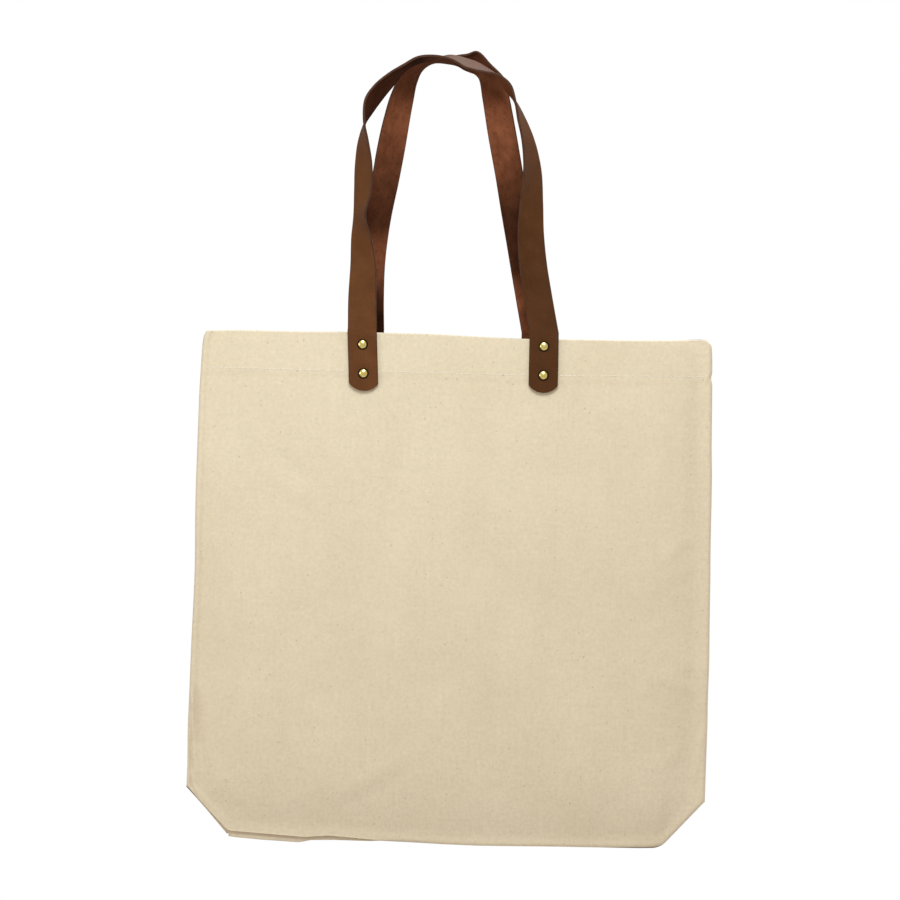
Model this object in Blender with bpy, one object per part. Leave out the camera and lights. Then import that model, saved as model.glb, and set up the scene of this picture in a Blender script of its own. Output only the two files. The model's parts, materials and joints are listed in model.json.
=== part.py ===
"""Canvas tote bag hanging from its two riveted leather handles.

Metres, +Z up. The front of the bag faces -Y and +X is to the right, as someone facing it sees it.
Shapes are worked out in the bag's own layout, whose zero is the middle of the mouth's top edge,
and HANG_POINT is the place in that layout where the world's origin lies, under the top of the handles.
"""

import math

import bmesh
import bpy
from mathutils import Matrix, Vector

MM = 0.001

# Driving dimensions of the canvas body
HEIGHT = 0.380
TOP_HALF_WIDTH = 0.191
BASE_HALF_WIDTH = 0.1945
CORNER_CUT = 0.0315
CANVAS = 0.001
GAP = 0.0003
INSETS = (0.0, 0.025, 0.076)
INSET_DEPTHS = (0.003, 0.0065, 0.0105)
HEM_BAND = 0.046
HEM_BAND_STEP = 0.004
HEM_BAND_EXTRA = 0.0005

# Turned-in hem, its stitching, and the seam allowances inside
HEM_DEPTH = 0.0315
HEM_CLOTH = 0.0008
HEM_END_INSET = 0.016
STITCH_LINE = 0.027
STITCH_SIZE = 0.0004
SEAM_HALF_THICKNESS = 0.0016
SEAM_WIDTH = 0.0115
SEAM_MARGIN = 0.0015

# Handles: one leather strap each, riveted on at both ends
STRAP_WIDTH = 0.022
LEATHER = 0.002
STRAP_STEP = 0.005
TAB_END_RADIUS = 0.0133
TAB_END_STEPS = 8
BEND_HEIGHT = 0.0043
BEND_OFFSET = 0.002

# Rivets: a domed cap outside, and a post with a flat head inside
RIVET_HEIGHTS = {"upper": 0.0349, "lower": 0.0132}
CAP_RADIUS = 0.004
CAP_HEIGHT = 0.0018
POST_RADIUS = 0.0013
POST_HOLE_RADIUS = 0.0016
HEAD_RADIUS = 0.0035
HEAD_THICKNESS = 0.001
ROUND_STEPS = 16

# Where the handles hang, and the line that each side of the bag opens about
HANG_POINT = Vector((-0.010, 0.0, 0.2045))
BASE_AXIS = Vector((0.0, 0.0, -HEIGHT - 0.0005))

# Where each strap's ends sit: x at the mouth, x at the tab's end, and the tab's lowest z
TABS = {
    "front": {"left": (-0.0717, -0.0695, -0.0423), "right": (0.0645, 0.0647, -0.0405)},
    "back": {"left": (-0.0665, -0.0665, -0.0415), "right": (0.0587, 0.0587, -0.0415)},
}

# Each strap's route in millimetres from its left end to its right end: the middle of the strap in x
# and z, then half its width as seen from the front. The rest of that half width lies in depth: away
# from the front on the front strap, and towards it on the back strap.
STRAP_ROUTES = {
    "front": (
        (-71.7, 4.3, -11.0, 0.0),
        (-72.3, 26, -10.6, 0.0),
        (-72.3, 53, -9.5, 0.0),
        (-74.4, 74, -7.0, 0.0),
        (-76.3, 88, -4.6, 0.0),
        (-75.2, 108, -5.4, 0.0),
        (-75.0, 127, -5.4, 0.0),
        (-75.0, 146, -2.8, 0.0),
        (-74.2, 158, 0.0, -0.5),
        (-71.6, 171, 3.2, -4.8),
        (-64.8, 182.5, 4.6, -4.8),
        (-54.8, 193.2, 3.4, -4.0),
        (-45.0, 202, 1.5, -2.2),
        (-34.5, 206.8, 0.5, -1.8),
        (-23.0, 208.2, 0.0, -1.6),
        (-12.5, 208.0, 0.0, -0.2),
        (-3.0, 205.6, 0.5, 2.4),
        (6.0, 202.2, 0.9, 2.9),
        (16.0, 199.0, 0.8, 1.8),
        (25.6, 195.4, 0.0, -0.2),
        (32.5, 188.3, -1.8, -1.4),
        (38.4, 177.5, 0.0, 0.0),
        (43.7, 164, 2.6, 0.4),
        (48.4, 151, 4.2, 0.3),
        (52.3, 129, 6.4, 0.0),
        (52.6, 101, 8.7, 0.0),
        (52.6, 80, 9.8, 0.0),
        (54.3, 57, 10.3, 0.0),
        (58.0, 35, 10.7, 0.0),
        (64.5, 4.3, 11.0, 0.0),
    ),
    "back": (
        (-66.5, 4.3, -11.0, 0.0),
        (-67.0, 28, -10.7, 0.0),
        (-65.2, 56, -10.0, 0.0),
        (-61.2, 86, -9.5, 0.0),
        (-56.8, 118, -10.2, 0.3),
        (-53.6, 141, -10.5, 0.5),
        (-49.8, 163, -9.6, 1.2),
        (-46.0, 180, -8.2, 2.0),
        (-41.0, 193, -6.2, 3.2),
        (-33.0, 202.8, -2.6, 2.8),
        (-23.0, 206.3, -0.5, 1.6),
        (-12.0, 206.6, 0.0, 1.6),
        (-4.0, 207.3, 0.4, 3.0),
        (2.4, 207.6, 1.6, 6.2),
        (7.6, 206.2, 3.2, 7.8),
        (14.0, 201.4, 6.8, 4.4),
        (20.6, 194.2, 10.3, 0.0),
        (24.1, 180, 10.6, 0.4),
        (29.4, 153, 10.5, 0.6),
        (35.7, 122, 10.4, 0.6),
        (40.4, 96, 10.4, 0.5),
        (45.0, 74, 10.8, 0.3),
        (50.4, 46, 10.9, 0.1),
        (58.7, 4.3, 11.0, 0.0),
    ),
}

# The sign of Y on each side of the bag
OUTWARD = {"front": -1.0, "back": 1.0}

LOOKS = {
    "canvas": ((0.79, 0.70, 0.55, 1.0), 0.92, 0.0),
    "thread": ((0.86, 0.79, 0.66, 1.0), 0.85, 0.0),
    "leather": ((0.16, 0.07, 0.03, 1.0), 0.5, 0.0),
    "brass": ((0.83, 0.62, 0.26, 1.0), 0.28, 1.0),
}


def clear_scene():
    for thing in list(bpy.data.objects):
        bpy.data.objects.remove(thing, do_unlink=True)


def material_for(name, look):
    colour, roughness, metallic = LOOKS[look]
    material = bpy.data.materials.new(name + "_" + look)
    material.use_nodes = True
    shader = material.node_tree.nodes["Principled BSDF"]
    shader.inputs["Base Color"].default_value = colour
    shader.inputs["Roughness"].default_value = roughness
    shader.inputs["Metallic"].default_value = metallic
    return material


def new_axis(name, parent, place):
    """An empty on a body's axis. place is in the bag's layout."""
    axis = bpy.data.objects.new(name, None)
    bpy.context.scene.collection.objects.link(axis)
    parent_place = Vector(parent["place"]) if parent else HANG_POINT
    axis.parent = parent
    axis.location = Vector(place) - parent_place
    axis["place"] = list(place)
    return axis


def new_object(name, bm, look, axis):
    """An object from a bmesh drawn in the bag's layout, with its origin on its body's axis."""
    bmesh.ops.recalc_face_normals(bm, faces=bm.faces)
    bmesh.ops.translate(bm, verts=bm.verts, vec=-Vector(axis["place"]))
    mesh = bpy.data.meshes.new(name)
    bm.to_mesh(mesh)
    bm.free()
    mesh.materials.append(material_for(name, look))
    thing = bpy.data.objects.new(name, mesh)
    bpy.context.scene.collection.objects.link(thing)
    thing.parent = axis
    return thing


def shade_round(thing):
    thing.data.shade_smooth()
    thing.data.set_sharp_from_angle(angle=math.radians(35))


def prism(outline, y_start, y_end):
    """A bmesh of an outline of (x, z) points, run through in Y between two planes."""
    bm = bmesh.new()
    near = [bm.verts.new((x, y_start, z)) for x, z in outline]
    far = [bm.verts.new((x, y_end, z)) for x, z in outline]
    bm.faces.new(near)
    bm.faces.new(far)
    for i in range(len(outline)):
        j = (i + 1) % len(outline)
        bm.faces.new((near[i], near[j], far[j], far[i]))
    return bm


def turned(profile, x, z):
    """A bmesh turned about the line along Y through (x, z), where the profile's two ends lie."""
    bm = bmesh.new()
    start = bm.verts.new((x, profile[0][1], z))
    end = bm.verts.new((x, profile[-1][1], z))
    rings = []
    for radius, y in profile[1:-1]:
        ring = []
        for i in range(ROUND_STEPS):
            angle = 2 * math.pi * i / ROUND_STEPS
            ring.append(bm.verts.new((x + radius * math.cos(angle), y, z + radius * math.sin(angle))))
        rings.append(ring)
    for i in range(ROUND_STEPS):
        j = (i + 1) % ROUND_STEPS
        bm.faces.new((start, rings[0][i], rings[0][j]))
        bm.faces.new((end, rings[-1][j], rings[-1][i]))
        for inner, outer in zip(rings, rings[1:]):
            bm.faces.new((inner[i], outer[i], outer[j], inner[j]))
    return bm


def half_width(z):
    """Half the bag's width at a height, which grows a little towards the base."""
    fall = min(1.0, -z / (HEIGHT - CORNER_CUT))
    return TOP_HALF_WIDTH + (BASE_HALF_WIDTH - TOP_HALF_WIDTH) * fall


def band_depth(inset):
    """From the middle plane to the panel's outer face in the hem band, at a distance in from the side."""
    for start, end, low, high in zip(INSETS, INSETS[1:], INSET_DEPTHS, INSET_DEPTHS[1:]):
        if inset <= end:
            return low + (high - low) * (inset - start) / (end - start) + HEM_BAND_EXTRA
    return INSET_DEPTHS[-1] + HEM_BAND_EXTRA


def panel_ring(inset, depth):
    """One line of the panel's outer face, from the mouth down the left, along the base and up again."""
    corner = math.tan(math.radians(22.5)) * inset
    low = -HEIGHT + CORNER_CUT + corner
    band_base = -HEM_BAND - HEM_BAND_STEP
    left = [
        (-half_width(0.0) + inset, depth + HEM_BAND_EXTRA, 0.0),
        (-half_width(-HEM_BAND) + inset, depth + HEM_BAND_EXTRA, -HEM_BAND),
        (-half_width(band_base) + inset, depth, band_base),
        (-half_width(low) + inset, depth, low),
        (-BASE_HALF_WIDTH + CORNER_CUT + corner, depth, -HEIGHT + inset),
    ]
    return left + [(-x, y, z) for x, y, z in reversed(left)]


def cut_rivet_holes(thing, cutters):
    for cutter in cutters:
        hole = thing.modifiers.new("Hole", "BOOLEAN")
        hole.operation = "DIFFERENCE"
        hole.solver = "EXACT"
        hole.object = cutter


def build_panel(side, axis, cutters):
    """A canvas panel: a shallow tray, nearly closed at its sewn edges and thicker along the mouth."""
    bm = bmesh.new()
    sign = OUTWARD[side]
    rings = []
    for inset, depth in zip(INSETS, INSET_DEPTHS):
        rings.append([bm.verts.new((x, sign * y, z)) for x, y, z in panel_ring(inset, depth)])
    for outer, inner in zip(rings, rings[1:]):
        for i in range(len(outer) - 1):
            bm.faces.new((outer[i], outer[i + 1], inner[i + 1], inner[i]))
    middle = rings[-1]
    last = len(middle) - 1
    for i in (0, 1):
        bm.faces.new((middle[i], middle[i + 1], middle[last - i - 1], middle[last - i]))
    bm.faces.new(middle[2:last - 1])
    outside = list(bm.faces)
    inside = bmesh.ops.extrude_face_region(bm, geom=outside, use_keep_orig=True)["geom"]
    inside_verts = [part for part in inside if isinstance(part, bmesh.types.BMVert)]
    bmesh.ops.translate(bm, verts=inside_verts, vec=(0.0, -sign * CANVAS, 0.0))
    panel = new_object(side + "_panel", bm, "canvas", axis)
    cut_rivet_holes(panel, cutters)


def band_strip(name, side, axis, look, ends, z_range, outset, thickness):
    """A strip along the hem band that follows the panel, set out from its outer face by outset."""
    bm = bmesh.new()
    sign = OUTWARD[side]
    bends = [sign_x * (TOP_HALF_WIDTH - inset) for sign_x in (-1, 1) for inset in INSETS[1:]]
    stations = sorted([x for x in bends if ends[0] < x < ends[1]] + list(ends))
    sections = []
    for x in stations:
        outer = band_depth(TOP_HALF_WIDTH - abs(x)) + outset
        corners = ((outer, z_range[0]), (outer, z_range[1]), (outer - thickness, z_range[1]),
                   (outer - thickness, z_range[0]))
        sections.append([bm.verts.new((x, sign * y, z)) for y, z in corners])
    bm.faces.new(sections[0])
    bm.faces.new(sections[-1])
    for first, second in zip(sections, sections[1:]):
        for i in range(4):
            j = (i + 1) % 4
            bm.faces.new((first[i], first[j], second[j], second[i]))
    return new_object(name, bm, look, axis)


def build_hem(side, axis, cutters):
    """The canvas turned in along the mouth, inside the panel."""
    end = TOP_HALF_WIDTH - HEM_END_INSET
    hem = band_strip(side + "_hem", side, axis, "canvas", (-end, end), (-HEM_DEPTH, -MM),
                     -CANVAS - GAP, HEM_CLOTH)
    cut_rivet_holes(hem, cutters)


def build_hem_stitching(side, axis):
    """The row of thread outside, which stops at each handle's tab."""
    end = TOP_HALF_WIDTH - HEM_END_INSET
    clear = STRAP_WIDTH / 2 + 1.5 * MM
    left = TABS[side]["left"][1]
    right = TABS[side]["right"][1]
    runs = {
        "left": (-end, left - clear),
        "middle": (left + clear, right - clear),
        "right": (right + clear, end),
    }
    heights = (-STITCH_LINE - STITCH_SIZE / 2, -STITCH_LINE + STITCH_SIZE / 2)
    for place, ends in runs.items():
        band_strip(f"{side}_hem_stitching_{place}", side, axis, "thread", ends, heights,
                   GAP + STITCH_SIZE, STITCH_SIZE)


def build_seams(axis):
    """The folded seam allowances between the two panels, along the sides, the base and the cut corners."""
    high = -5 * MM
    low = -HEIGHT + CORNER_CUT + 10.5 * MM
    thickness = (-SEAM_HALF_THICKNESS, SEAM_HALF_THICKNESS)
    corners = ((high, SEAM_MARGIN), (low, SEAM_MARGIN), (low, SEAM_MARGIN + SEAM_WIDTH),
               (high, SEAM_MARGIN + SEAM_WIDTH))
    for name, sign in (("left_side_seam", -1), ("right_side_seam", 1)):
        outline = [(sign * (half_width(z) - margin), z) for z, margin in corners]
        new_object(name, prism(outline, *thickness), "canvas", axis)
    base_end = BASE_HALF_WIDTH - CORNER_CUT - 13 * MM
    base_low = -HEIGHT + SEAM_MARGIN
    outline = [(-base_end, base_low), (base_end, base_low), (base_end, base_low + SEAM_WIDTH),
               (-base_end, base_low + SEAM_WIDTH)]
    new_object("bottom_seam", prism(outline, *thickness), "canvas", axis)
    along = Vector((1, -1)).normalized()
    inward = Vector((1, 1)).normalized()
    cut_start = Vector((-BASE_HALF_WIDTH, -HEIGHT + CORNER_CUT))
    cut_length = CORNER_CUT * math.sqrt(2)
    for name, sign in (("left_corner_seam", -1), ("right_corner_seam", 1)):
        outline = []
        for run, rise in ((6 * MM, SEAM_MARGIN), (cut_length - 6 * MM, SEAM_MARGIN),
                          (cut_length - 6 * MM, SEAM_WIDTH), (6 * MM, SEAM_WIDTH)):
            corner = cut_start + along * run + inward * rise
            outline.append((-sign * corner.x, corner.y))
        new_object(name, prism(outline, *thickness), "canvas", axis)


def tab_face():
    """From the middle plane to a tab's inner face."""
    return INSET_DEPTHS[-1] + HEM_BAND_EXTRA + GAP


def build_tab(side, place, axis, cutters):
    """The flat end of a handle, riveted through the canvas, with a shallow round end."""
    mouth_x, end_x, end_z = TABS[side][place]
    half = STRAP_WIDTH / 2
    top = BEND_HEIGHT - GAP
    centre_z = end_z + TAB_END_RADIUS
    spread = math.asin(half / TAB_END_RADIUS)
    outline = [(mouth_x - half, top)]
    for i in range(TAB_END_STEPS + 1):
        angle = -math.pi / 2 - spread + 2 * spread * i / TAB_END_STEPS
        outline.append((end_x + TAB_END_RADIUS * math.cos(angle),
                        centre_z + TAB_END_RADIUS * math.sin(angle)))
    outline.append((mouth_x + half, top))
    sign = OUTWARD[side]
    bm = prism(outline, sign * tab_face(), sign * (tab_face() + LEATHER))
    tab = new_object(f"{side}_{place}_handle_tab", bm, "leather", axis)
    cut_rivet_holes(tab, cutters)


def rivet_place(side, place, level):
    """The x and z of a rivet, on the tab's middle line."""
    mouth_x, end_x, end_z = TABS[side][place]
    z = end_z + RIVET_HEIGHTS[level]
    return mouth_x + (end_x - mouth_x) * z / end_z, z


def build_hole_cutter(side, place, level, axis):
    x, z = rivet_place(side, place, level)
    sign = OUTWARD[side]
    reach = tab_face() + 2 * LEATHER
    profile = ((0, sign * 4 * MM), (POST_HOLE_RADIUS, sign * 4 * MM), (POST_HOLE_RADIUS, sign * reach),
               (0, sign * reach))
    cutter = new_object(f"{side}_{place}_{level}_hole_cutter", turned(profile, x, z), "canvas", axis)
    cutter.hide_render = True
    cutter.display_type = "WIRE"
    return cutter


def build_rivet(side, place, level, axis):
    x, z = rivet_place(side, place, level)
    sign = OUTWARD[side]
    outer = tab_face() + LEATHER
    cap_base = outer + GAP
    cap_profile = ((0, cap_base), (CAP_RADIUS, cap_base), (CAP_RADIUS, cap_base + 0.4 * MM),
                   (0.86 * CAP_RADIUS, cap_base + 0.7 * CAP_HEIGHT),
                   (0.5 * CAP_RADIUS, cap_base + 0.94 * CAP_HEIGHT), (0, cap_base + CAP_HEIGHT))
    head_top = INSET_DEPTHS[-1] + HEM_BAND_EXTRA - CANVAS - HEM_CLOTH - 2 * GAP
    post_profile = ((0, head_top - HEAD_THICKNESS), (HEAD_RADIUS, head_top - HEAD_THICKNESS),
                    (HEAD_RADIUS, head_top), (POST_RADIUS, head_top), (POST_RADIUS, outer), (0, outer))
    for part, profile in (("cap", cap_profile), ("post", post_profile)):
        bm = turned([(radius, sign * y) for radius, y in profile], x, z)
        shade_round(new_object(f"{side}_{place}_{level}_rivet_{part}", bm, "brass", axis))


def smooth_route(stations, step):
    """Points read from one smooth curve through the stations, evenly along each stretch of it."""
    places = [Vector(station) for station in stations]
    lengths = [(b.xy - a.xy).length for a, b in zip(places, places[1:])]
    slopes = [(b - a) / length for a, b, length in zip(places, places[1:], lengths)]
    tangents = [slopes[0]]
    for before, after, a, b in zip(slopes, slopes[1:], lengths, lengths[1:]):
        tangents.append((before * b + after * a) / (a + b))
    tangents.append(slopes[-1])
    points = []
    for i, length in enumerate(lengths):
        count = max(1, round(length / step))
        for k in range(count):
            t = k / count
            start = places[i] * (1 + 2 * t) + tangents[i] * length * t
            end = places[i + 1] * (3 - 2 * t) + tangents[i + 1] * length * (t - 1)
            points.append(start * (1 - t) ** 2 + end * t * t)
    points.append(places[-1])
    return points


def build_handle(side, axis):
    """The free part of a strap: a band swept along its route, turning edge-on where the two straps meet."""
    sign = OUTWARD[side]
    half = STRAP_WIDTH / 2
    middle_y = sign * (tab_face() + LEATHER / 2)
    route = smooth_route([[value * MM for value in row] for row in STRAP_ROUTES[side]], STRAP_STEP)
    centres = [Vector((x, middle_y, z)) for x, z, _, _ in route]
    bm = bmesh.new()
    rings = []
    for i, (_, _, across_x, across_z) in enumerate(route):
        lean = math.sqrt(max(0.0, half * half - across_x * across_x - across_z * across_z))
        across = Vector((across_x, -sign * lean, across_z)).normalized() * half
        forward = centres[min(i + 1, len(centres) - 1)] - centres[max(i - 1, 0)]
        through = across.cross(forward).normalized() * (LEATHER / 2)
        corners = (across + through, across - through, -across - through, -across + through)
        rings.append([bm.verts.new(centres[i] + corner) for corner in corners])
    bm.faces.new(rings[0])
    bm.faces.new(rings[-1])
    for first, second in zip(rings, rings[1:]):
        for i in range(4):
            j = (i + 1) % 4
            bm.faces.new((first[i], first[j], second[j], second[i]))
    shade_round(new_object(side + "_handle", bm, "leather", axis))


def build_side(side, base_axis):
    """Everything that moves with one panel, and the handle that folds on it."""
    panel_axis = new_axis(side + "_side_axis", base_axis, BASE_AXIS)
    cutters = []
    for place in TABS[side]:
        tab_cutters = [build_hole_cutter(side, place, level, panel_axis) for level in RIVET_HEIGHTS]
        build_tab(side, place, panel_axis, tab_cutters)
        for level in RIVET_HEIGHTS:
            build_rivet(side, place, level, panel_axis)
        cutters += tab_cutters
    build_panel(side, panel_axis, cutters)
    build_hem(side, panel_axis, cutters)
    build_hem_stitching(side, panel_axis)
    bend_y = OUTWARD[side] * (tab_face() + LEATHER + BEND_OFFSET)
    bend = (0.0, bend_y, BEND_HEIGHT - GAP / 2)
    build_handle(side, new_axis(side + "_handle_axis", panel_axis, bend))


def main():
    clear_scene()
    base_axis = new_axis("base_axis", None, BASE_AXIS)
    build_seams(base_axis)
    for side in OUTWARD:
        build_side(side, base_axis)


main()
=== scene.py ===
"""The looks of the canvas tote bag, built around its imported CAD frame.

Shapes are worked out in millimetres in the bag's own layout: x from its middle line, y from the
middle plane, and z from the mouth's top edge. put() turns them into the frame's metres.
"""

import json
import math

import bmesh
import bpy
import numpy as np
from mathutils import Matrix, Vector

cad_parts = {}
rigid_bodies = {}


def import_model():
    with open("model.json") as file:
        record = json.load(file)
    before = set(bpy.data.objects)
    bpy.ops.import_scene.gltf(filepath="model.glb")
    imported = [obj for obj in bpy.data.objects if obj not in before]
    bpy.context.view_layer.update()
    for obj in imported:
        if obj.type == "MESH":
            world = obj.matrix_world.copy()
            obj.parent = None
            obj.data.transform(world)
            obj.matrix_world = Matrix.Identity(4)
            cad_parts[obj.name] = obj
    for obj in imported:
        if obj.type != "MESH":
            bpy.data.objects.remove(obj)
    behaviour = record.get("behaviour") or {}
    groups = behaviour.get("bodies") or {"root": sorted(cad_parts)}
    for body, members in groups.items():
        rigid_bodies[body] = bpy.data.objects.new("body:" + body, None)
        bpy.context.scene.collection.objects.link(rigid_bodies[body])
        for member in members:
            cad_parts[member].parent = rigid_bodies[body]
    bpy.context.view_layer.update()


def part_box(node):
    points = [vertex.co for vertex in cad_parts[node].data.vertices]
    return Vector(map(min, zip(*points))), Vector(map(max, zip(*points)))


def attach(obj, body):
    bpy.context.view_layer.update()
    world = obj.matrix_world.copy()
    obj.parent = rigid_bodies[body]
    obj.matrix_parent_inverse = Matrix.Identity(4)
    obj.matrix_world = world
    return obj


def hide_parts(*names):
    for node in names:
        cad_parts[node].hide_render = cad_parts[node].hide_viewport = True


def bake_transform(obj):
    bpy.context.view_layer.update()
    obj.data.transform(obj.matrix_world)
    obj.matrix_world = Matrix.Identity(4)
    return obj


for leftover in list(bpy.data.objects):
    bpy.data.objects.remove(leftover, do_unlink=True)

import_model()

MM = 0.001
PANEL_LOW, PANEL_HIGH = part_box("front_panel")
MOUTH = Vector(((PANEL_LOW.x + PANEL_HIGH.x) / 2, 0.0, PANEL_HIGH.z))
TAB_LOW, TAB_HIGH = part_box("front_left_handle_tab")
TAB_INNER = -TAB_HIGH.y / MM
TAB_OUTER = -TAB_LOW.y / MM
SIDES = {"front": -1.0, "back": 1.0}

# Canvas body
CLOTH = 0.95  # one ply's thickness
HEM_THICKNESS = 1.9
HEM_DEPTH = 31.5
BODY_HEIGHT = 380.0
STRETCH_WIDTH = 194.5  # half the body's width before it is fitted to its outline
GRID_STEP = 2.8
BLEND_SPLIT = {"left": -86.0, "right": 78.0}  # where the wings meet the middle
PARTS = ("left", "middle", "right")
BAG_DEPTH = 10.5  # half the bag's depth
EDGE_STACK = 3.3  # half the depth of the folded cloth inside the side seams
THREAD_RADIUS = 0.24

# Straps
STRAP_HALF = 11.0  # half the width
LEATHER = 2.0  # thickness
TAB_END_RADIUS = 13.3
TAB_LENGTH = 52  # from a tab's end to above the mouth
ROW_STEP = 0.9
ROUTE_START = 4.3

# Rivets: each height is above the tab's end. A profile's points are (radius, rise).
RIVET_HEIGHTS = {"upper": 34.9, "lower": 13.2}
RIVET_SIDES = 48
DIMPLE = 0.22  # how far a cap presses into the leather around it
DOME = ((0.0, 1.95), (0.9, 1.90), (1.8, 1.70), (2.6, 1.36), (3.2, 0.98), (3.6, 0.66), (3.85, 0.46),
        (4.0, 0.30), (4.0, 0.05), (3.8, -0.05), (0.0, -0.05))
STEM_HEAD = ((0.0, -1.15), (1.8, -1.08), (2.9, -0.86), (3.4, -0.55), (3.5, -0.3), (3.4, 0.0),
             (1.35, 0.0), (1.3, 0.3))

# Each tab: x at the mouth, x at its end, and z at its end
TABS = {
    "front": {"left": (-71.7, -69.5, -42.3), "right": (64.5, 64.7, -40.5)},
    "back": {"left": (-66.5, -66.5, -41.5), "right": (58.7, 58.7, -41.5)},
}

# The straps' routes above the mouth, close to the CAD source's. Each station is the middle's x and z, and
# then the x and z of half the strap's width as seen from the front.
STRAP_ROUTES = {
    "front": (
        (-71.7, 4.3, -11, 0), (-72.3, 26, -10.6, 0), (-72.3, 53, -9.5, 0),
        (-74.4, 74, -7, 0), (-75.9, 88, -4.2, 0), (-73.8, 108, -6.3, 0),
        (-73.8, 127, -6.2, 0), (-74.5, 146, -3.3, 0), (-74.1, 158, 0, -0.5),
        (-71.2, 170.7, 2.9, -4.3), (-64.1, 181.8, 3.9, -4), (-54.2, 192.4, 2.7, -3.2),
        (-44.6, 201, 1, -1.5), (-34.5, 206.7, 0.4, -1.8), (-24, 208.3, 0, -1.4),
        (-17.5, 209.2, 0.1, 0.1), (-11.5, 209.3, 0.3, 1.5), (-5.8, 207.7, 0.5, 2.5),
        (0, 205.3, 0.8, 3.4), (8, 202.9, 1, 3.3), (16.5, 199.9, 0.8, 1.7),
        (25, 196.4, 0, -0.1), (32.5, 188.3, -1.8, -1.4), (38.6, 177.5, 0.1, 0),
        (43.7, 164, 2.6, 0.4), (48.2, 151, 4.1, 0.3), (52.4, 129, 6.2, 0),
        (52.6, 101, 8.6, 0), (52.6, 80, 9.8, 0), (54.7, 57, 10.5, 0),
        (58.4, 35, 10.9, 0), (64.5, 4.3, 11, 0),
    ),
    "back": (
        (-66.5, 4.3, -11, 0), (-67, 28, -10.7, 0), (-66, 56, -10, 0),
        (-62.7, 86, -9.9, 0), (-57.2, 118, -10.3, 0.3), (-53.6, 141, -10.5, 0.5),
        (-49.8, 163, -9.6, 1.2), (-46, 180, -8.2, 2), (-41.5, 193.2, -5.7, 3),
        (-33.9, 203, -2.4, 2.6), (-24, 207.2, -0.5, 1.3), (-13, 207.4, 0, 1.6),
        (-4.6, 207.6, 0.3, 3.6), (1.4, 206.8, 1.3, 5.8), (5.9, 207.2, 2.4, 7.7),
        (14, 201.4, 5.9, 3.4), (21, 194.2, 9.9, 0), (24.2, 180, 10.2, 0.4),
        (29.5, 153, 10.7, 0.6), (35.7, 122, 10.5, 0.6), (40.4, 96, 10.4, 0.5),
        (45, 74, 10.8, 0.3), (50.4, 46, 10.9, 0.1), (58.7, 4.3, 11, 0),
    ),
}


def put(points):
    """Points in the bag's layout in millimetres, as frame coordinates in metres."""
    return np.asarray(points, float) * MM + np.array(MOUTH)


def smoothstep(low, high, value):
    """0 at low, 1 at high, and a smooth change between them."""
    t = np.clip((np.asarray(value, float) - low) / (high - low), 0, 1)
    return t * t * (3 - 2 * t)


def smooth_line(knots, rounding):
    """A function along (place, value) knots, with its corners rounded over about that distance."""
    places, values = np.array(knots, float).T
    offsets = np.linspace(-1, 1, 9) * rounding
    weights = 1 - (offsets / (rounding * 1.15)) ** 2
    weights /= weights.sum()
    return lambda at: sum(weight * np.interp(np.asarray(at) + offset, places, values)
                          for weight, offset in zip(weights, offsets))


# The outline of the canvas: z by x along the mouth, the base and the hem's stitches, and, for the left (-1)
# and right (1) edges, the distance from the middle line by how far down they are
TOP_LINE = smooth_line(((-191, 0.1), (-177, 0.8), (-160, 1.15), (-120, 1.1), (-88, 1.8), (-21, 1.7),
                        (47, -0.3), (88, 0.1), (130, 0.35), (160, 1.2), (184, 2.5), (192, 2.6)), 8)
BOTTOM_LINES = {
    "front": smooth_line(((-196, -340.6), (-163.4, -374.1), (-105.6, -377.6), (-88, -376), (-48, -378.8),
                          (-30, -379.4), (-3, -380.6), (24, -381.1), (51, -380.8), (78, -380.4),
                          (118, -380.1), (145, -379.3), (157.5, -378.6), (163, -376.8), (194, -343.4)), 2),
    "back": smooth_line(((-196, -341.4), (-163.2, -376.8), (-110, -379.4), (-48, -379.2), (-30, -379.6),
                         (-3, -380.6), (24, -381.1), (51, -380.8), (78, -380.4), (145, -380),
                         (157.5, -379.5), (163, -377), (194, -343.4)), 2),
}
EDGE_LINES = {
    -1: smooth_line(((0, 191.3), (20, 191.9), (44, 192.9), (81, 193.4), (110, 193.8), (137, 193.8),
                     (175, 193.1), (194, 193.3), (231, 194.3), (268, 194.9), (300, 195.5), (325, 195.0),
                     (345, 195.4)), 8),
    1: smooth_line(((0, 190.8), (16, 191.3), (44, 191.8), (62, 192.0), (81, 192.3), (100, 193.1),
                    (156, 193.3), (175, 193.7), (212, 194.0), (240, 194.4), (268, 194.0), (287, 194.2),
                    (310, 193.9), (344, 193.6)), 8),
}
STITCH_LINE = smooth_line(((-192, -27.2), (60, -27.5), (110, -26.8), (184, -25.3), (192, -25.2)), 12)


def edge(sign, z):
    """How far the left (-1) or right (+1) edge is from the middle line at a height."""
    fall = -np.asarray(z, float)
    notch = 0.9 * np.exp(-((fall - 26.5) / 3.0) ** 2) if sign > 0 else 0.0
    return EDGE_LINES[sign](fall) - notch


def corner_round(sign, drop):
    """How far the mouth's corner is rounded in on the left, or cut across on the right."""
    if sign < 0:
        return 3.0 * np.exp(-drop / 3.4)
    return 4.2 * np.clip(1 - drop / 4.4, 0, 1) ** 1.1 + 1.0 * np.exp(-drop / 6.0)


def soft_waves(x, z, seed, count, lengths, upright):
    """A smooth uneven field of about -1 to 1, with its streaks running mostly up and down."""
    rng = np.random.default_rng(seed)
    total = np.zeros(np.broadcast(x, z).shape)
    for _ in range(count):
        length = rng.uniform(*lengths)
        lean = rng.normal(0, 0.35)
        phase = rng.uniform(0, 2 * math.pi)
        total += np.sin(2 * math.pi * (x * math.cos(lean) + z * math.sin(lean) / upright) / length + phase)
    return total / math.sqrt(count) * 0.8


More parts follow.
